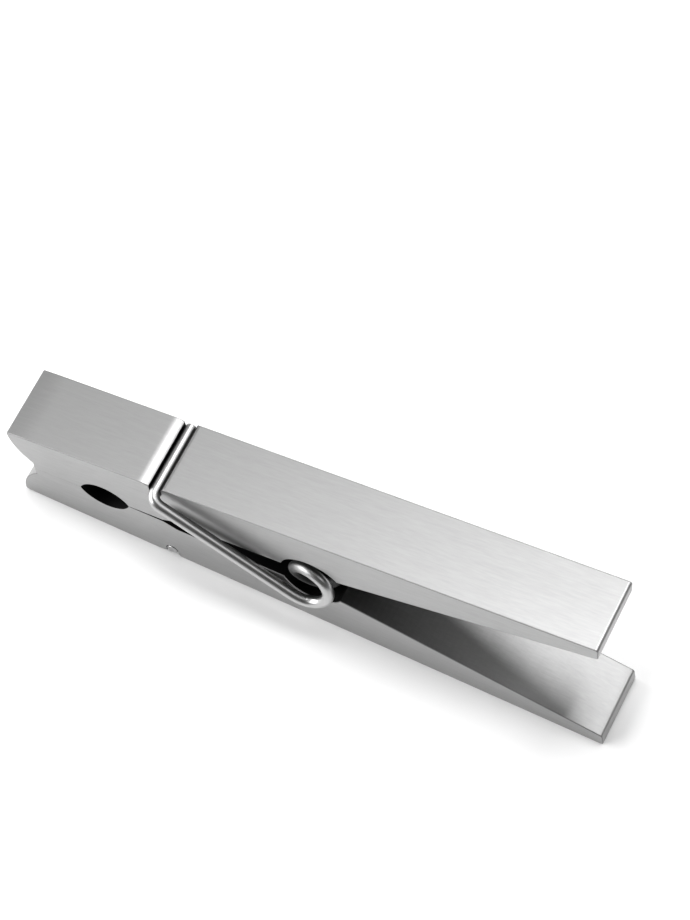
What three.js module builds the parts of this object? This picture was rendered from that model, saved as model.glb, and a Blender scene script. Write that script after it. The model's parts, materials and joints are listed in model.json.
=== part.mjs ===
// A spring clothespin in satin metal: two mirrored levers and one torsion spring.
// Millimetres, +Z up. X runs from the jaws to the handles, Y runs across the pin, and the lower
// lever rests on its outer face. Everything is drawn in the pin's own plane first: x along the
// plane that parts the levers, z away from it. That plane is then tilted up by the lean angle.
import * as THREE from "three";

// Levers
const leverLength = 80;
const leverWidth = 9.7;
const jawHeight = 7.45;
const lean = THREE.MathUtils.degToRad(4.4);
const jawGap = 0.09;
const edgeBevel = 0.2;

// Jaw nose, clothesline hole and the relief behind it
const noseX = 0.1;
const noseRadius = 8;
const tipDrop = 0.12;
const tipLength = 3.6;
const contactStartX = 2.75;
const contactEndX = 20.9;
const contactEndZ = 0.22;
const lineHoleX = 12.7;
const lineHoleHalfLength = 3.4;
const lineHoleDepth = 2.4;
const reliefStartX = 22.7;
const reliefStartZ = 1.05;
const reliefEndZ = 1.8;

// Coil pocket and handle
const pivotX = 41.4;
const pocketRadius = 4.1;
const pocketCentreZ = 0.7;
const pocketLipZ = 2.6;
const handleEndThickness = 2.35;
const handleEndSlant = 0.12;

// Wire groove in the outer face
const grooveX = 21.05;
const grooveRadius = 0.85;
const shoulderDrop = 0.33;
const shoulderLength = 1.7;
const grooveEdgeRound = 0.65;

// Spring
const wireRadius = 0.75;
const wireSides = 10;
const crossWireZ = 7.8;
const coilRadius = 2.67;
const coilTurns = 5;
const coilOverhang = 1.75;
const pitchSwing = 0.35;
const armClearance = 0.5;
const bendRadius = 1.5;
const seamGap = 0.3;
const stepsPerTurn = 22;
const bendSteps = 6;

function satinMetal() {
  return new THREE.MeshStandardMaterial({ color: 0xb4b5b6, roughness: 0.38, metalness: 1 });
}

function polishedWire() {
  return new THREE.MeshStandardMaterial({ color: 0xc9cacc, roughness: 0.12, metalness: 1 });
}

// Height of the outer face over the parting plane
function outerZ(x) {
  return jawHeight + x * Math.tan(lean);
}

// Rounds the outer face off to a point, its corner at cornerX
function roundOff(shape, cornerX, endX, endZ) {
  shape.quadraticCurveTo(cornerX, outerZ(cornerX), endX, endZ);
}

// Where the pocket's circle is z above the parting plane, on its jaw side (-1) or handle side (+1)
function pocketX(z, side) {
  return pivotX + side * Math.sqrt(pocketRadius ** 2 - (z - pocketCentreZ) ** 2);
}

function pocketAngle(z, side) {
  return Math.atan2(z - pocketCentreZ, pocketX(z, side) - pivotX);
}

// Side view of one lever, from the jaw's contact face to the handle and back over the outer face
function leverOutline() {
  const lineHoleRadius = (lineHoleHalfLength ** 2 + lineHoleDepth ** 2) / (2 * lineHoleDepth);
  const lineHoleCentreZ = jawGap + lineHoleDepth - lineHoleRadius;
  const lineHoleAngle = Math.asin((jawGap - lineHoleCentreZ) / lineHoleRadius);
  const noseCentreX = noseX + noseRadius;
  const noseTopZ = outerZ(noseX) - tipDrop;
  const noseDrop = Math.sqrt(noseRadius ** 2 - (noseCentreX - contactStartX) ** 2);
  const noseEndAngle = Math.PI + Math.asin(noseDrop / noseRadius);
  const handleEndX = leverLength * Math.cos(lean);
  const handleEndZ = jawHeight + leverLength * Math.sin(lean);
  const innerEndX = handleEndX + handleEndThickness * (Math.sin(lean) - handleEndSlant);
  const innerEndZ = handleEndZ - handleEndThickness * Math.cos(lean);
  const endRound = 0.4;
  const frontChamfer = 0.3;
  const shoulderX = grooveX - grooveRadius;
  const shoulderStartX = shoulderX - shoulderLength;
  const edgeX = grooveX + grooveRadius;

  const shape = new THREE.Shape();
  shape.moveTo(contactStartX, jawGap + frontChamfer);
  shape.lineTo(contactStartX + frontChamfer, jawGap);
  shape.lineTo(lineHoleX - lineHoleHalfLength, jawGap);
  shape.absarc(lineHoleX, lineHoleCentreZ, lineHoleRadius, Math.PI - lineHoleAngle, lineHoleAngle, true);
  shape.lineTo(contactEndX, contactEndZ);
  shape.lineTo(reliefStartX, reliefStartZ);
  shape.lineTo(pocketX(reliefEndZ, -1), reliefEndZ);
  const pocketStart = pocketAngle(reliefEndZ, -1);
  shape.absarc(pivotX, pocketCentreZ, pocketRadius, pocketStart, pocketAngle(pocketLipZ, 1), true);
  shape.lineTo(innerEndX - endRound, innerEndZ - endRound * 0.25);
  shape.quadraticCurveTo(innerEndX, innerEndZ, innerEndX, innerEndZ + endRound);
  shape.lineTo(handleEndX, handleEndZ - endRound);
  roundOff(shape, handleEndX, handleEndX - endRound, outerZ(handleEndX - endRound));
  shape.lineTo(edgeX + grooveEdgeRound, outerZ(edgeX + grooveEdgeRound));
  shape.quadraticCurveTo(edgeX, outerZ(edgeX), edgeX, outerZ(edgeX) - grooveEdgeRound);
  shape.absarc(grooveX, crossWireZ, grooveRadius, 0, Math.PI, true);
  shape.lineTo(shoulderX, outerZ(shoulderX) - shoulderDrop);
  roundOff(shape, shoulderX - shoulderLength / 2, shoulderStartX, outerZ(shoulderStartX));
  shape.lineTo(noseX + tipLength, outerZ(noseX + tipLength));
  roundOff(shape, noseX + tipLength / 2, noseX, noseTopZ);
  shape.absarc(noseCentreX, noseTopZ, noseRadius, Math.PI, noseEndAngle, false);
  shape.closePath();
  return shape;
}

function lever(name) {
  const geometry = new THREE.ExtrudeGeometry(leverOutline(), {
    depth: leverWidth - 2 * edgeBevel,
    curveSegments: 8,
    bevelEnabled: true,
    bevelThickness: edgeBevel,
    bevelSize: edgeBevel,
    bevelOffset: -edgeBevel,
    bevelSegments: 1,
  });
  geometry.translate(0, 0, edgeBevel - leverWidth / 2);
  geometry.rotateX(Math.PI / 2);
  const mesh = new THREE.Mesh(geometry, satinMetal());
  mesh.name = name;
  return mesh;
}

// A wire's centre line through listed points, with one extrusion step for each stretch
class WirePath extends THREE.Curve {
  constructor(points) {
    super();
    this.points = points;
  }

  getPoint(t) {
    const last = this.points.length - 1;
    const place = Math.min(Math.max(t, 0), 1) * last;
    const index = Math.min(Math.floor(place), last - 1);
    return this.points[index].clone().lerp(this.points[index + 1], place - index);
  }

  getUtoTmapping(u) {
    return u;
  }
}

function wire(name, points) {
  const section = new THREE.Shape();
  section.absarc(0, 0, wireRadius, 0, 2 * Math.PI, false);
  const geometry = new THREE.ExtrudeGeometry(section, {
    steps: points.length - 1,
    curveSegments: wireSides / 2,
    extrudePath: new WirePath(points),
  });
  const mesh = new THREE.Mesh(geometry, polishedWire());
  mesh.name = name;
  return mesh;
}

// The arm meets the coil where the line from the groove is tangent to the coil's underside
const grooveDistance = Math.hypot(pivotX - grooveX, crossWireZ);
const lineToPivot = Math.atan2(-crossWireZ, pivotX - grooveX);
const tangentAngle = lineToPivot - Math.asin(coilRadius / grooveDistance) - Math.PI / 2;

// A point of the coil's centre line, t from 0 (near arm) to 1 (far arm). The outer turns are
// stretched, so that the coil steps from outside the side faces into the pocket.
function coilPoint(t) {
  const sweep = coilTurns * 2 * Math.PI - 2 * tangentAngle;
  const angle = tangentAngle + t * sweep;
  const halfSpan = leverWidth / 2 + coilOverhang;
  const along = 2 * t - 1 + (pitchSwing * Math.sin(2 * Math.PI * t)) / Math.PI;
  return new THREE.Vector3(
    pivotX + coilRadius * Math.cos(angle),
    halfSpan * along,
    coilRadius * Math.sin(angle),
  );
}

function coil() {
  const wireLength = coilRadius * (coilTurns * 2 * Math.PI - 2 * tangentAngle);
  const inset = seamGap / 2 / wireLength;
  const count = Math.round((coilTurns - tangentAngle / Math.PI) * stepsPerTurn);
  const points = [];
  for (let i = 0; i <= count; i++) {
    points.push(coilPoint(inset + (1 - 2 * inset) * (i / count)));
  }
  return wire("spring_coil", points);
}

// One arm: straight from the coil to the groove outside the side face, then across in the groove
function springArm(name) {
  const start = coilPoint(0);
  const corner = new THREE.Vector3(grooveX, -(leverWidth / 2 + armClearance + wireRadius), crossWireZ);
  const along = start.clone().sub(corner).normalize();
  const across = new THREE.Vector3(0, 1, 0);
  const bendStart = corner.clone().addScaledVector(along, bendRadius);
  const bendEnd = corner.clone().addScaledVector(across, bendRadius);
  const bend = new THREE.QuadraticBezierCurve3(bendStart, corner, bendEnd);
  const cutEnd = new THREE.Vector3(grooveX, leverWidth / 2 + 0.1, crossWireZ);
  const points = [start.clone().addScaledVector(along, -seamGap / 2)];
  points.push(...bend.getPoints(bendSteps), cutEnd);
  return wire(name, points);
}

// The spring and the levers look the same after half a turn about the pin's long axis
function turnedOver(mesh) {
  mesh.rotation.x = Math.PI;
  return mesh;
}

const pin = new THREE.Group();
pin.add(turnedOver(lever("lower_lever")));
pin.add(lever("upper_lever"));
pin.add(coil());
pin.add(springArm("spring_upper_arm"));
pin.add(turnedOver(springArm("spring_lower_arm")));
pin.rotation.y = -lean;

// Stand the pin on its lower outer face, with the origin under the middle of its box
const clothespin = new THREE.Group();
clothespin.add(pin);
clothespin.updateMatrixWorld(true);
const extent = new THREE.Box3().setFromObject(clothespin, true);
const middle = extent.getCenter(new THREE.Vector3());
pin.position.set(-middle.x, -middle.y, jawHeight * Math.cos(lean));

export default clothespin;
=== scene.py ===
"""A spring clothespin: two satin-metal levers and a polished steel torsion spring.

Shapes are drawn in the pin's own plane in millimetres, as in the CAD: x along the plane that
parts the levers, from the jaws to the handles, and z away from it.
"""

import json
import math

import bmesh
import bpy
from mathutils import Matrix, Vector


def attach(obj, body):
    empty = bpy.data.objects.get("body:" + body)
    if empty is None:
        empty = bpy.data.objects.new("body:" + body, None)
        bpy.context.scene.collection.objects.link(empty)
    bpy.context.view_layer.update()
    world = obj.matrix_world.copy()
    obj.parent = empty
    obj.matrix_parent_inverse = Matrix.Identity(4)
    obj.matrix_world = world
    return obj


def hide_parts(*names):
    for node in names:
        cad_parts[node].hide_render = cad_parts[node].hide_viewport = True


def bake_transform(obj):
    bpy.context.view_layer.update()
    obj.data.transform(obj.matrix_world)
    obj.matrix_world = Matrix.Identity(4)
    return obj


MM = 0.001
LEAN = math.radians(4.4)

# Levers
LEVER_LENGTH = 80
LEVER_WIDTH = 9.7
JAW_HEIGHT = 7.45
JAW_GAP = 0.01
# The contact face opens a little behind the clothesline hole
REAR_GAP = 0.06
REAR_STEP = 0.2
# How far the long edges are rounded: the visible ones, those of the pocket and the shoulder, and
# those of the other inner walls
EDGE_ROUND = 0.12
SLIGHT_EDGE = 0.1
FINE_EDGE = 0.012
EDGE_STEPS = 4

# Jaw nose, clothesline hole and the relief behind it
NOSE_X = 0.1
NOSE_RADIUS = 8
TIP_DROP = 0.12
TIP_LENGTH = 3.6
TIP_ROUND = 0.22
CONTACT_START_X = 2.75
CONTACT_ROUND = 0.3
CONTACT_END = (20.9, 0.22)
LINE_HOLE_X = 12.7
LINE_HOLE_HALF_LENGTH = 3.4
LINE_HOLE_DEPTH = 2.4
RELIEF_START = (22.7, 1.05)
RELIEF_END_Z = 1.8

# Coil pocket and handle
PIVOT_X = 41.4
POCKET_RADIUS = 4.1
POCKET_CENTRE_Z = 0.7
POCKET_LIP_Z = 2.6
HANDLE_END_THICKNESS = 2.35
HANDLE_END_SLANT = 0.12
HANDLE_END_ROUND = 0.4
# The inner face is cut into strips, which carry painted shade and roughness, strongest next to the
# coil and fading out towards the handle
INNER_STEPS = 48
INNER_FACE_SHADE = 0.75
INNER_FADE = 1.1
INNER_FADE_POWER = 1.5

# Wire groove in the outer face
GROOVE_X = 21.05
GROOVE_RADIUS = 0.85
SHOULDER_DROP = 0.33
SHOULDER_LENGTH = 1.7
# The shoulder bends down more and more towards the groove
SHOULDER_POWER = 2.7
SHOULDER_STEPS = 12
GROOVE_EDGE_ROUND = 0.65

# Spring
WIRE_RADIUS = 0.75
WIRE_SIDES = 24
CROSS_WIRE_Z = 7.8
COIL_RADIUS = 2.67
COIL_TURNS = 5
COIL_OVERHANG = 1.75
PITCH_SWING = 0.35
ARM_CLEARANCE = 0.5
BEND_RADIUS = 1.5
COIL_ENTRY = 1.0
CUT_OVERHANG = 0.1
RIM_ROUND = 0.16
STEPS_PER_TURN = 64

# How many steps the other curves are cut into
CORNER_STEPS = 4
RIM_STEPS = 4
NOSE_STEPS = 24
TIP_STEPS = 12
HOLE_STEPS = 24
POCKET_STEPS = 28
HANDLE_END_STEPS = 5
GROOVE_STEPS = 14
GROOVE_EDGE_STEPS = 9
BEND_STEPS = 16
ENTRY_STEPS = 8

# A mitred corner moves in by at most 1 / MITRE_LIMIT of the edge's rounding
MITRE_LIMIT = 0.5
# Edges bent more than this, in degrees, stay sharp
LEVER_SHARP_ANGLE = 32
WIRE_SHARP_ANGLE = 50

# Painted shade: how bright the inner walls and the inner turns of the coil are beside the rest,
# and over how many turns from its ends the coil stays unshaded and shiny and then fades into the
# painted shade
INNER_SHADE_TONE = 0.04
INNER_TURNS_SHADE_TONE = 0.12
SHINY_UNSHADED_TURNS = 0.42
SHADE_FADING_TURNS = 0.4

# Painted shade on the side faces, beside an arm and by the coil pocket, which are made rougher
# there too: each is a line in the side view, how far it reaches from there and how strong it is
BESIDE_ARM = (Vector((24, 0, 4.7)) * MM, Vector((33.5, 0, 1.5)) * MM)
BESIDE_ARM_REACH = 2.3 * MM
BESIDE_ARM_SHADE_STRENGTH = 0.8
BY_POCKET = (Vector((32, 0, 1.6)) * MM, Vector((39, 0, 3.2)) * MM)
BY_POCKET_REACH = 3.2 * MM
BY_POCKET_SHADE_STRENGTH = 0.97

FLOOR_HALF_WIDTH = 3


# ---------------------------------------------------------------- the frame

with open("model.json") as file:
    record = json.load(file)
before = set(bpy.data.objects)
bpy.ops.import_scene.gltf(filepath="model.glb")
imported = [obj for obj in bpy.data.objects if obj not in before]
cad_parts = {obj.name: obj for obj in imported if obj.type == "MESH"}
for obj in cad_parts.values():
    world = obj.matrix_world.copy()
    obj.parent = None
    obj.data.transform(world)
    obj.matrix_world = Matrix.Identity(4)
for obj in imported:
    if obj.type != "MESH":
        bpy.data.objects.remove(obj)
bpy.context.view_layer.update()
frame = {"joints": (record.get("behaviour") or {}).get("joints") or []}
pivot = Vector(frame["joints"][0]["pos_m"])
TO_ROW = (
    Matrix.Translation(pivot)
    @ Matrix.Rotation(-LEAN, 4, "Y")
    @ Matrix.Translation((-PIVOT_X * MM, 0, 0))
)
HALF_TURN = Matrix.Rotation(math.pi, 4, "X")
# The grain runs along each lever's outer face
ALONG_OUTER = Matrix.Rotation(LEAN, 4, "Y")


# ---------------------------------------------------------------- outline of a lever


def outer_z(x):
    return JAW_HEIGHT + x * math.tan(LEAN)


def arc(centre, radius, start, end, steps):
    """Points of an arc, both ends among them."""
    points = []
    for i in range(steps + 1):
        angle = start + (end - start) * i / steps
        points.append((centre[0] + radius * math.cos(angle), centre[1] + radius * math.sin(angle)))
    return points


def corner(before, point, after, radius, steps=CORNER_STEPS):
    """A corner of the outline rounded to a radius."""
    p = Vector(point)
    a = (Vector(before) - p).normalized()
    b = (Vector(after) - p).normalized()
    half = a.angle(b) / 2
    reach = radius / math.tan(half)
    centre = p + (a + b).normalized() * (radius / math.sin(half))
    first = p + a * reach - centre
    last = p + b * reach - centre
    sweep = first.angle(last)
    turn = 1 if first.x * last.y - first.y * last.x > 0 else -1
    start = math.atan2(first.y, first.x)
    return arc(centre, radius, start, start + turn * sweep, steps)


def quadratic(a, b, c, steps):
    """Points from a to c that leave and arrive along the lines to b."""
    a, b, c = Vector(a), Vector(b), Vector(c)
    return [
        a * (1 - t) ** 2 + b * 2 * t * (1 - t) + c * t**2
        for t in (i / steps for i in range(steps + 1))
    ]


def lever_outline():
    """Side view of one lever, from the jaw's contact face to the handle and back on top, as
    (point, how far the long edge is rounded there, how much painted shade the wall after it gets)
    triples."""
    outline = []

    def add(points, edge=EDGE_ROUND, inner_shade=0):
        for p in points:
            outline.append((Vector(p), edge, inner_shade))

    a, d = LINE_HOLE_HALF_LENGTH, LINE_HOLE_DEPTH
    hole_radius = (a**2 + d**2) / (2 * d)
    hole_centre = (LINE_HOLE_X, JAW_GAP + d - hole_radius)
    hole_angle = math.asin((JAW_GAP - hole_centre[1]) / hole_radius)

    relief_end_x = PIVOT_X - math.sqrt(POCKET_RADIUS**2 - (RELIEF_END_Z - POCKET_CENTRE_Z) ** 2)
    lip_x = PIVOT_X + math.sqrt(POCKET_RADIUS**2 - (POCKET_LIP_Z - POCKET_CENTRE_Z) ** 2)
    pocket_start = math.atan2(RELIEF_END_Z - POCKET_CENTRE_Z, relief_end_x - PIVOT_X)
    pocket_end = math.atan2(POCKET_LIP_Z - POCKET_CENTRE_Z, lip_x - PIVOT_X)

    end_x = LEVER_LENGTH * math.cos(LEAN)
    outer_end = (end_x, outer_z(end_x))
    inner_end = (
        end_x + HANDLE_END_THICKNESS * (math.sin(LEAN) - HANDLE_END_SLANT),
        outer_end[1] - HANDLE_END_THICKNESS * math.cos(LEAN),
    )

    edge_x = GROOVE_X + GROOVE_RADIUS
    shoulder_x = GROOVE_X - GROOVE_RADIUS
    shoulder_start_x = shoulder_x - SHOULDER_LENGTH

    nose_centre = (NOSE_X + NOSE_RADIUS, outer_z(NOSE_X) - TIP_DROP)
    drop = math.sqrt(NOSE_RADIUS**2 - (nose_centre[0] - CONTACT_START_X) ** 2)
    nose_end = math.pi + math.asin(drop / NOSE_RADIUS)
    nose = arc(nose_centre, NOSE_RADIUS, math.pi, nose_end, NOSE_STEPS)

    contact_start = (CONTACT_START_X, JAW_GAP)
    hole = arc(hole_centre, hole_radius, math.pi - hole_angle, hole_angle, HOLE_STEPS)
    add(corner(nose[-1], contact_start, hole[0], CONTACT_ROUND), FINE_EDGE)
    # The hole, the relief behind it, the pocket and the groove get full painted shade; the inner
    # face gets a painted shade that fades towards the handle
    add(hole, FINE_EDGE, 1)
    add([(hole[-1][0] + REAR_STEP, REAR_GAP), CONTACT_END, RELIEF_START], FINE_EDGE, 1)
    pocket_centre = (PIVOT_X, POCKET_CENTRE_Z)
    pocket = arc(pocket_centre, POCKET_RADIUS, pocket_start, pocket_end, POCKET_STEPS)
    add(pocket[:-1], SLIGHT_EDGE, 1)
    lip = Vector(pocket[-1])
    for i in range(INNER_STEPS):
        share = i / INNER_STEPS
        strip_shade = INNER_FACE_SHADE * max(0, 1 - share * INNER_FADE) ** INNER_FADE_POWER
        add([lip.lerp(Vector(inner_end), share)], EDGE_ROUND, strip_shade)
    add(corner(lip, inner_end, outer_end, HANDLE_END_ROUND, HANDLE_END_STEPS))
    edge = (edge_x, outer_z(edge_x))
    add(corner(inner_end, outer_end, edge, HANDLE_END_ROUND, HANDLE_END_STEPS))
    flat_end = (edge_x + GROOVE_EDGE_ROUND, outer_z(edge_x + GROOVE_EDGE_ROUND))
    wall_start = (edge_x, edge[1] - GROOVE_EDGE_ROUND)
    into_groove = quadratic(flat_end, edge, wall_start, GROOVE_EDGE_STEPS)
    # Painted shade on the lower two thirds of the groove's edge, as in the groove
    bright = GROOVE_EDGE_STEPS // 3
    add(into_groove[:bright])
    add(into_groove[bright:], FINE_EDGE, 1)
    groove_centre = (GROOVE_X, CROSS_WIRE_Z)
    add(arc(groove_centre, GROOVE_RADIUS, 0, -math.pi, GROOVE_STEPS), FINE_EDGE, 1)
    shoulder = []
    for i in range(SHOULDER_STEPS, -1, -1):
        share = i / SHOULDER_STEPS
        x = shoulder_start_x + share * SHOULDER_LENGTH
        shoulder.append((x, outer_z(x) - SHOULDER_DROP * share**SHOULDER_POWER))
    add(shoulder, SLIGHT_EDGE)
    tip = quadratic(
        (NOSE_X + TIP_LENGTH, outer_z(NOSE_X + TIP_LENGTH)),
        (NOSE_X + TIP_LENGTH / 2, outer_z(NOSE_X + TIP_LENGTH / 2)),
        nose[0],
        TIP_STEPS,
    )
    add(tip[:-1])
    add(corner(tip[-2], nose[0], nose[1], TIP_ROUND))
    add(nose[1:])
    return outline


# ---------------------------------------------------------------- meshes


def inset(outline, share):
    """The outline moved inwards by a share of each point's edge rounding, corners mitred."""
    count = len(outline)
    moved = []
    for i in range(count):
        p, edge, _ = outline[i]
        into = (p - outline[i - 1][0]).normalized()
        out = (outline[(i + 1) % count][0] - p).normalized()
        normal_in = Vector((-into.y, into.x))
        normal = (normal_in + Vector((-out.y, out.x))).normalized()
        moved.append(p + normal * (edge * share / max(normal.dot(normal_in), MITRE_LIMIT)))
    return moved


def lever_mesh(name, matrix):
    """The outline carried across the pin, with its long edges rounded. Attributes for the metal:
    grain is the place along the outer face, recess how much painted shade an inner wall gets, edge
    marks the rounded edges, own_arm and other_arm the side faces beside each of the spring's arms."""
    outline = lever_outline()
    half = LEVER_WIDTH / 2
    rings = []
    for side in (-1, 1):
        steps = range(EDGE_STEPS, -1, -1) if side < 0 else range(EDGE_STEPS + 1)
        for i in steps:
            angle = i / EDGE_STEPS * math.pi / 2
            share = 1 - math.cos(angle)
            rings.append((side, 1 - math.sin(angle), inset(outline, share)))

    mesh = bmesh.new()
    grain = mesh.verts.layers.float_vector.new("grain")
    inner_shade = mesh.faces.layers.float.new("inner_shade")
    rounded = mesh.faces.layers.float.new("edge")
    own_arm = mesh.faces.layers.float.new("own_arm")
    other_arm = mesh.faces.layers.float.new("other_arm")
    loops = []
    for side, pulled_in, points in rings:
        loop = []
        for (x, z), (_, edge, _) in zip(points, outline):
            at = Vector((x, side * (half - edge * pulled_in), z)) * MM
            vert = mesh.verts.new(matrix @ at)
            vert[grain] = ALONG_OUTER @ at
            loop.append(vert)
        loops.append(loop)
    count = len(outline)
    for k, (near, far) in enumerate(zip(loops, loops[1:])):
        for i in range(count):
            j = (i + 1) % count
            face = mesh.faces.new((near[i], near[j], far[j], far[i]))
            if k == EDGE_STEPS:
                face[inner_shade] = outline[i][2]
            else:
                face[rounded] = 1
    mesh.faces.new(loops[0][::-1])[own_arm] = 1
    mesh.faces.new(loops[-1])[other_arm] = 1
    bmesh.ops.recalc_face_normals(mesh, faces=mesh.faces)
    data = bpy.data.meshes.new(name)
    mesh.to_mesh(data)
    mesh.free()
    return data


def smooth(obj, sharp_angle):
    """Smooth shading over the rounded edges, with the flat faces kept flat."""
    data = obj.data
    data.shade_smooth()
    data.set_sharp_from_angle(angle=math.radians(sharp_angle))
    flat = obj.modifiers.new("flat_faces", "WEIGHTED_NORMAL")
    flat.mode = "FACE_AREA"
    flat.weight = 100
    flat.keep_sharp = True
    return obj


def place(name, data, material):
    obj = bpy.data.objects.new(name, data)
    bpy.context.scene.collection.objects.link(obj)
    data.materials.append(material)
    return obj


def tube_mesh(name, points, radius, sides, first_length, cut_start, cut_end):
    """A wire along (point, section's x direction, section's y direction) triples. A cut end has
    its rim rounded. The grain attribute is the place along and round the wire."""
    mesh = bmesh.new()
    grain = mesh.verts.layers.float_vector.new("grain")
    stations = [(point, frame_x, frame_y, radius) for point, frame_x, frame_y in points]
    rim = RIM_ROUND * MM

    def rounded(end, inner):
        point, frame_x, frame_y = end
        along = (point - inner[0]).normalized()
        made = []
        for i in range(1, RIM_STEPS + 1):
            angle = i / RIM_STEPS * math.pi / 2
            at = point + along * rim * (math.sin(angle) - 1)
            made.append((at, frame_x, frame_y, radius - rim * (1 - math.cos(angle))))
        return made

    if cut_end:
        stations = stations[:-1] + rounded(points[-1], points[-2])
    if cut_start:
        stations = rounded(points[0], points[1])[::-1] + stations[1:]

    loops = []
    length = first_length
    last = None
    for point, frame_x, frame_y, size in stations:
        if last is not None:
            length += (point - last).length
        last = point
        loop = []
        for k in range(sides):
            angle = 2 * math.pi * k / sides
            arm = frame_x * math.cos(angle) + frame_y * math.sin(angle)
            vert = mesh.verts.new(TO_ROW @ (point + arm * size))
            vert[grain] = (length, radius * math.cos(angle), radius * math.sin(angle))
            loop.append(vert)
        loops.append(loop)
    for near, far in zip(loops, loops[1:]):
        for i in range(sides):
            j = (i + 1) % sides
            mesh.faces.new((near[i], near[j], far[j], far[i]))
    mesh.faces.new(loops[0][::-1])
    mesh.faces.new(loops[-1])
    bmesh.ops.recalc_face_normals(mesh, faces=mesh.faces)
    data = bpy.data.meshes.new(name)
    mesh.to_mesh(data)
    mesh.free()
    return data


# ---------------------------------------------------------------- centre line of the spring

groove_distance = math.hypot(PIVOT_X - GROOVE_X, CROSS_WIRE_Z)
line_to_pivot = math.atan2(-CROSS_WIRE_Z, PIVOT_X - GROOVE_X)
tangent_angle = line_to_pivot - math.asin(COIL_RADIUS / groove_distance) - math.pi / 2
coil_sweep = COIL_TURNS * 2 * math.pi - 2 * tangent_angle


def coil_point(t):
    """A place on the coil, t from 0 (near arm) to 1 (far arm). The outer turns are stretched, so
    that the coil steps from outside the side faces into the pocket."""
    angle = tangent_angle + t * coil_sweep
    half_span = LEVER_WIDTH / 2 + COIL_OVERHANG
    along = 2 * t - 1 + PITCH_SWING * math.sin(2 * math.pi * t) / math.pi
    return Vector(
        (
            PIVOT_X + COIL_RADIUS * math.cos(angle),
            half_span * along,
            COIL_RADIUS * math.sin(angle),
        )
    )


def arm_points():
    """One arm from its cut end in the groove, over the bend, to where the coil takes over, and
    how far along the coil that is, from 0 to 1."""
    start = coil_point(0)
    bend_corner = Vector(
        (GROOVE_X, -(LEVER_WIDTH / 2 + ARM_CLEARANCE + WIRE_RADIUS), CROSS_WIRE_Z)
    )
    along = (start - bend_corner).normalized()
    across = Vector((0, 1, 0))
    cut = Vector((GROOVE_X, LEVER_WIDTH / 2 + CUT_OVERHANG, CROSS_WIRE_Z))
    bend = quadratic(
        bend_corner + across * BEND_RADIUS,
        bend_corner,
        bend_corner + along * BEND_RADIUS,
        BEND_STEPS,
    )
    entry = COIL_ENTRY / (COIL_RADIUS * coil_sweep)
    into_coil = quadratic(start - along * COIL_ENTRY, start, coil_point(entry), ENTRY_STEPS)
    return [cut] + bend + into_coil, entry


def spring_pieces():
    """The near arm, the coil and the far arm, cut from one line with its section turned smoothly
    along it."""
    arm, entry = arm_points()
    turns = coil_sweep / (2 * math.pi)
    count = round(turns * STEPS_PER_TURN)
    coil = [coil_point(entry + (1 - 2 * entry) * i / count) for i in range(count + 1)]
    far_arm = [HALF_TURN @ p for p in reversed(arm)]
    line = arm[:-1] + coil + far_arm[1:]

    tangents = []
    for i in range(len(line)):
        before = line[max(i - 1, 0)]
        after = line[min(i + 1, len(line) - 1)]
        tangents.append((after - before).normalized())
    section = tangents[0].orthogonal().normalized()
    framed = []
    for i, (point, tangent) in enumerate(zip(line, tangents)):
        if i:
            section = tangents[i - 1].rotation_difference(tangent) @ section
        section = (section - tangent * section.dot(tangent)).normalized()
        framed.append((point * MM, section.copy(), tangent.cross(section)))

    first = len(arm) - 1
    last = first + count
    return framed[: first + 1], framed[first : last + 1], framed[last:]


near_arm, coil_line, far_arm = spring_pieces()
coil_start = sum((b[0] - a[0]).length for a, b in zip(near_arm, near_arm[1:]))
coil_length = sum((b[0] - a[0]).length for a, b in zip(coil_line, coil_line[1:]))
turn_length = 2 * math.pi * COIL_RADIUS * MM
middle_of_wire = coil_start + coil_length / 2
# Distances from the middle of the wire, to where it is shiny and free of painted shade, and
# where its painted shade is full and its shine least
unshaded_shiny_distance = coil_length / 2 - SHINY_UNSHADED_TURNS * turn_length
shaded_dull_distance = unshaded_shiny_distance - SHADE_FADING_TURNS * turn_length


# ---------------------------------------------------------------- materials


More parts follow.
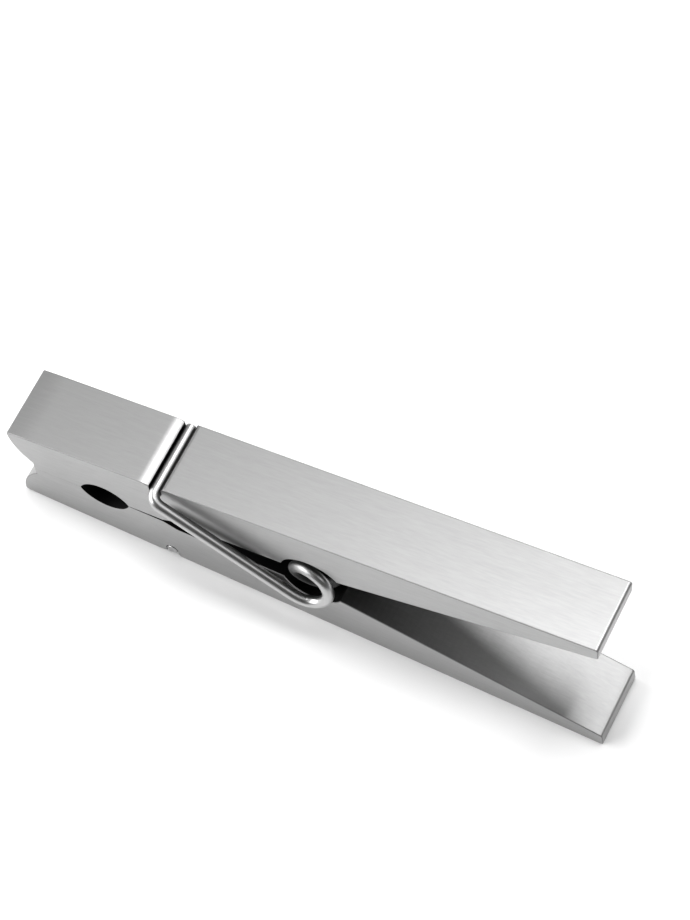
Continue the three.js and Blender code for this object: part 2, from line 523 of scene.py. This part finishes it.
class Nodes:
    """Short names for adding and joining shader nodes."""

    def __init__(self, tree):
        self.tree = tree
        self.tree.nodes.clear()

    def add(self, kind, inputs=None, **settings):
        made = self.tree.nodes.new("ShaderNode" + kind)
        for key, value in settings.items():
            setattr(made, key, value)
        for key, value in (inputs or {}).items():
            if isinstance(value, bpy.types.NodeSocket):
                self.tree.links.new(value, made.inputs[key])
            else:
                made.inputs[key].default_value = value
        return made

    def ramp(self, value, low, high):
        """Maps a value from 0-1 to low-high."""
        made = self.add("MapRange", {"Value": value, "To Min": low, "To Max": high})
        return made.outputs["Result"]

    def stretched_noise(self, vector, scale, detail=3.0):
        """Noise with features about 1/scale metres long on each axis."""
        mapped = self.add("Mapping", {"Vector": vector, "Scale": scale})
        made = self.add("TexNoise", {"Vector": mapped.outputs[0], "Scale": 1.0, "Detail": detail})
        return made.outputs["Fac"]

    def product(self, a, b):
        return self.add("Math", {0: a, 1: b}, operation="MULTIPLY").outputs[0]

    def painted_shade_place(self, vector, ends, reach):
        """1 on a line between two places of the side view, falling smoothly to 0 at a distance."""
        start, end = (ALONG_OUTER @ p for p in ends)
        flat = self.add("VectorMath", {0: vector, 1: (1, 0, 1)}, operation="MULTIPLY").outputs[0]
        from_start = self.add("VectorMath", {0: flat, 1: start}, operation="SUBTRACT").outputs[0]
        along = (end - start) / (end - start).length_squared
        share = self.add("VectorMath", {0: from_start, 1: along}, operation="DOT_PRODUCT")
        clamped = self.add("Clamp", {"Value": share.outputs["Value"]}).outputs[0]
        foot = self.add("VectorMath", {0: end - start, "Scale": clamped}, operation="SCALE")
        away = self.add("VectorMath", {0: from_start, 1: foot.outputs[0]}, operation="DISTANCE")
        made = self.add(
            "MapRange",
            {"Value": away.outputs["Value"], "From Max": reach, "To Min": 1.0, "To Max": 0.0},
            interpolation_type="SMOOTHSTEP",
        )
        return made.outputs["Result"]

    def sum(self, *weighted):
        """The sum of (value, weight) pairs."""
        total = None
        for value, weight in weighted:
            inputs = {0: value, 1: weight}
            if total is None:
                total = self.add("Math", inputs, operation="MULTIPLY").outputs[0]
            else:
                inputs[2] = total
                total = self.add("Math", inputs, operation="MULTIPLY_ADD").outputs[0]
        return total


def new_material(name):
    made = bpy.data.materials.new(name)
    made.use_nodes = True
    return made, Nodes(made.node_tree)


def satin_metal():
    """Metal brushed along its length: fine streaks and faint clouding, with painted shade on the
    inner walls, on places of the side faces and in a line along the rounded edges."""
    made, nodes = new_material("satin_metal")
    surface_place = nodes.add("Attribute", attribute_name="grain").outputs["Vector"]
    fine = nodes.stretched_noise(surface_place, (600, 5200, 5200))
    streaks = nodes.stretched_noise(surface_place, (180, 2600, 2600))
    clouds = nodes.stretched_noise(surface_place, (120, 320, 320), 2.0)
    edge = nodes.add("Attribute", attribute_name="edge").outputs["Fac"]
    inner_shade = nodes.add("Attribute", attribute_name="inner_shade").outputs["Fac"]
    grain = nodes.sum((fine, 0.45), (streaks, 0.35), (clouds, 0.2))
    # Rounded edges are painted a little darker, a line of painted shade along them
    tone = nodes.sum((nodes.ramp(grain, 0.28, 0.4), 1.0), (edge, -0.1))
    # Painted shade darkens the inner walls
    inner_shaded = nodes.add("MapRange", {"Value": inner_shade, "To Min": 1.0, "To Max": INNER_SHADE_TONE})
    tone = nodes.product(tone, inner_shaded.outputs[0])
    own_arm = nodes.add("Attribute", attribute_name="own_arm").outputs["Fac"]
    other_arm = nodes.add("Attribute", attribute_name="other_arm").outputs["Fac"]
    # Painted shade on parts of the side faces: beside an arm and by the coil pocket
    beside_arm = nodes.painted_shade_place(surface_place, BESIDE_ARM, BESIDE_ARM_REACH)
    by_pocket = nodes.painted_shade_place(surface_place, BY_POCKET, BY_POCKET_REACH)
    side_shade_and_roughness = nodes.sum(
        (nodes.product(own_arm, beside_arm), BESIDE_ARM_SHADE_STRENGTH),
        (nodes.product(other_arm, by_pocket), BY_POCKET_SHADE_STRENGTH),
    )
    tone = nodes.product(tone, nodes.ramp(side_shade_and_roughness, 1.0, 0.0))
    colour = nodes.add("CombineColor", {0: tone, 1: tone, 2: tone})
    roughness = nodes.sum(
        (nodes.ramp(grain, 0.44, 0.3), 1.0), (inner_shade, 0.2), (edge, 0.15), (side_shade_and_roughness, 0.45)
    )
    height = nodes.sum((fine, 0.6), (streaks, 0.4))
    bump = nodes.add("Bump", {"Strength": 0.25, "Distance": 0.02 * MM, "Height": height})
    shader = nodes.add(
        "BsdfPrincipled",
        {
            "Base Color": colour.outputs[0],
            "Metallic": 1.0,
            "Roughness": roughness,
            "Normal": bump.outputs[0],
        },
    )
    nodes.add("OutputMaterial", {"Surface": shader.outputs[0]})
    return made


def polished_wire():
    """Drawn steel wire: a soft shine with faint draw lines along it, darkened with painted shade
    and rougher in the inner turns.
    """
    made, nodes = new_material("polished_wire")
    surface_place = nodes.add("Attribute", attribute_name="grain").outputs["Vector"]
    lines = nodes.stretched_noise(surface_place, (90, 7000, 7000))
    haze = nodes.stretched_noise(surface_place, (300, 900, 900), 2.0)
    mixed = nodes.sum((lines, 0.6), (haze, 0.4))
    tone = nodes.ramp(mixed, 0.36, 0.46)
    # Painted shade darkens the inner turns of the coil, which are rougher too
    length = nodes.add("SeparateXYZ", {"Vector": surface_place}).outputs["X"]
    from_middle = nodes.add("Math", {0: length, 1: middle_of_wire}, operation="SUBTRACT").outputs[0]
    from_middle = nodes.add("Math", {0: from_middle}, operation="ABSOLUTE").outputs[0]
    unshaded_turns = nodes.add(
        "MapRange",
        {
            "Value": from_middle,
            "From Min": shaded_dull_distance,
            "From Max": unshaded_shiny_distance,
            "To Min": INNER_TURNS_SHADE_TONE,
            "To Max": 1.0,
        },
        interpolation_type="SMOOTHSTEP",
    )
    tone = nodes.product(tone, unshaded_turns.outputs[0])
    colour = nodes.add("CombineColor", {0: tone, 1: tone, 2: tone})
    roughness = nodes.sum((nodes.ramp(mixed, 0.68, 0.6), 1.0), (unshaded_turns.outputs[0], -0.3))
    bump = nodes.add("Bump", {"Strength": 0.12, "Distance": 0.01 * MM, "Height": lines})
    shader = nodes.add(
        "BsdfPrincipled",
        {
            "Base Color": colour.outputs[0],
            "Metallic": 1.0,
            "Roughness": roughness,
            "Normal": bump.outputs[0],
        },
    )
    nodes.add("OutputMaterial", {"Surface": shader.outputs[0]})
    return made


def pale_floor():
    made, nodes = new_material("pale_floor")
    shader = nodes.add("BsdfPrincipled", {"Base Color": (0.9, 0.9, 0.9, 1), "Roughness": 0.9})
    nodes.add("OutputMaterial", {"Surface": shader.outputs[0]})
    return made


# ---------------------------------------------------------------- the object

metal = satin_metal()
wire = polished_wire()

for side, turn in (("upper", TO_ROW), ("lower", TO_ROW @ HALF_TURN)):
    name = side + "_jaw_lever"
    body = smooth(place(name, lever_mesh(name, turn), metal), LEVER_SHARP_ANGLE)
    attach(body, side)
    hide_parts(side + "_lever")

tube = (WIRE_RADIUS * MM, WIRE_SIDES)

upper_arm = tube_mesh("upper_arm", near_arm, *tube, 0, True, False)
lower_arm = tube_mesh("lower_arm", far_arm, *tube, coil_start + coil_length, False, True)
for side, data in (("upper", upper_arm), ("lower", lower_arm)):
    arm_piece = smooth(place(side + "_spring_arm", data, wire), WIRE_SHARP_ANGLE)
    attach(arm_piece, side)
    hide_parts("spring_" + side + "_arm")

coil_data = tube_mesh("coil", coil_line, *tube, coil_start, False, False)
coil_piece = smooth(place("coil_winding", coil_data, wire), WIRE_SHARP_ANGLE)
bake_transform(coil_piece)
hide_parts("spring_coil")


# ---------------------------------------------------------------- floor, light and camera

floor_mesh = bmesh.new()
bmesh.ops.create_grid(floor_mesh, x_segments=1, y_segments=1, size=FLOOR_HALF_WIDTH)
floor_data = bpy.data.meshes.new("floor")
floor_mesh.to_mesh(floor_data)
floor_mesh.free()
floor = place("floor", floor_data, pale_floor())


def softbox(name, location, aimed_at, size, power):
    """A rectangular light, its size in metres and its power in watts."""
    light = bpy.data.lights.new(name, "AREA")
    light.shape = "RECTANGLE"
    light.size, light.size_y = size
    light.energy = power
    obj = bpy.data.objects.new(name, light)
    bpy.context.scene.collection.objects.link(obj)
    obj.location = location
    away = Vector(location) - Vector(aimed_at)
    obj.rotation_euler = away.to_track_quat("Z", "Y").to_euler()


softbox("overhead", (0, 0.225, 1.0), (0, 0.225, 0), (0.4, 0.45), 6.2)
softbox("overhead_edge", (-0.32, 0.225, 1.0), (-0.32, 0.225, 0), (0.24, 0.45), 2.6)
softbox("overhead_left", (-0.75, 0.25, 1.0), (-0.75, 0.25, 0), (0.5, 0.5), 0.45)
softbox("overhead_right", (0.78, 0.3, 1.0), (0.78, 0.3, 0), (0.6, 1.1), 4.4)
softbox("low_front", (-0.9, -0.4, 0.45), (0, 0, 0), (1.3, 0.8), 21)

world = bpy.data.worlds.new("studio")
world.use_nodes = True
sky = Nodes(world.node_tree)
background = sky.add("Background", {"Color": (1, 1, 1, 1), "Strength": 0.08})
sky.add("OutputWorld", {"Surface": background.outputs[0]})
bpy.context.scene.world = world
bpy.context.scene.view_settings.view_transform = "Standard"

camera_data = bpy.data.cameras.new("camera")
camera_data.sensor_width = 36
camera_data.lens = 131.1
camera_data.clip_start = 0.01
camera = bpy.data.objects.new("camera", camera_data)
bpy.context.scene.collection.objects.link(camera)
camera.location = (0.08424, -0.14736, 0.38184)
camera.rotation_euler = (0.4532, 0.0201, 0.4574)
bpy.context.scene.camera = camera
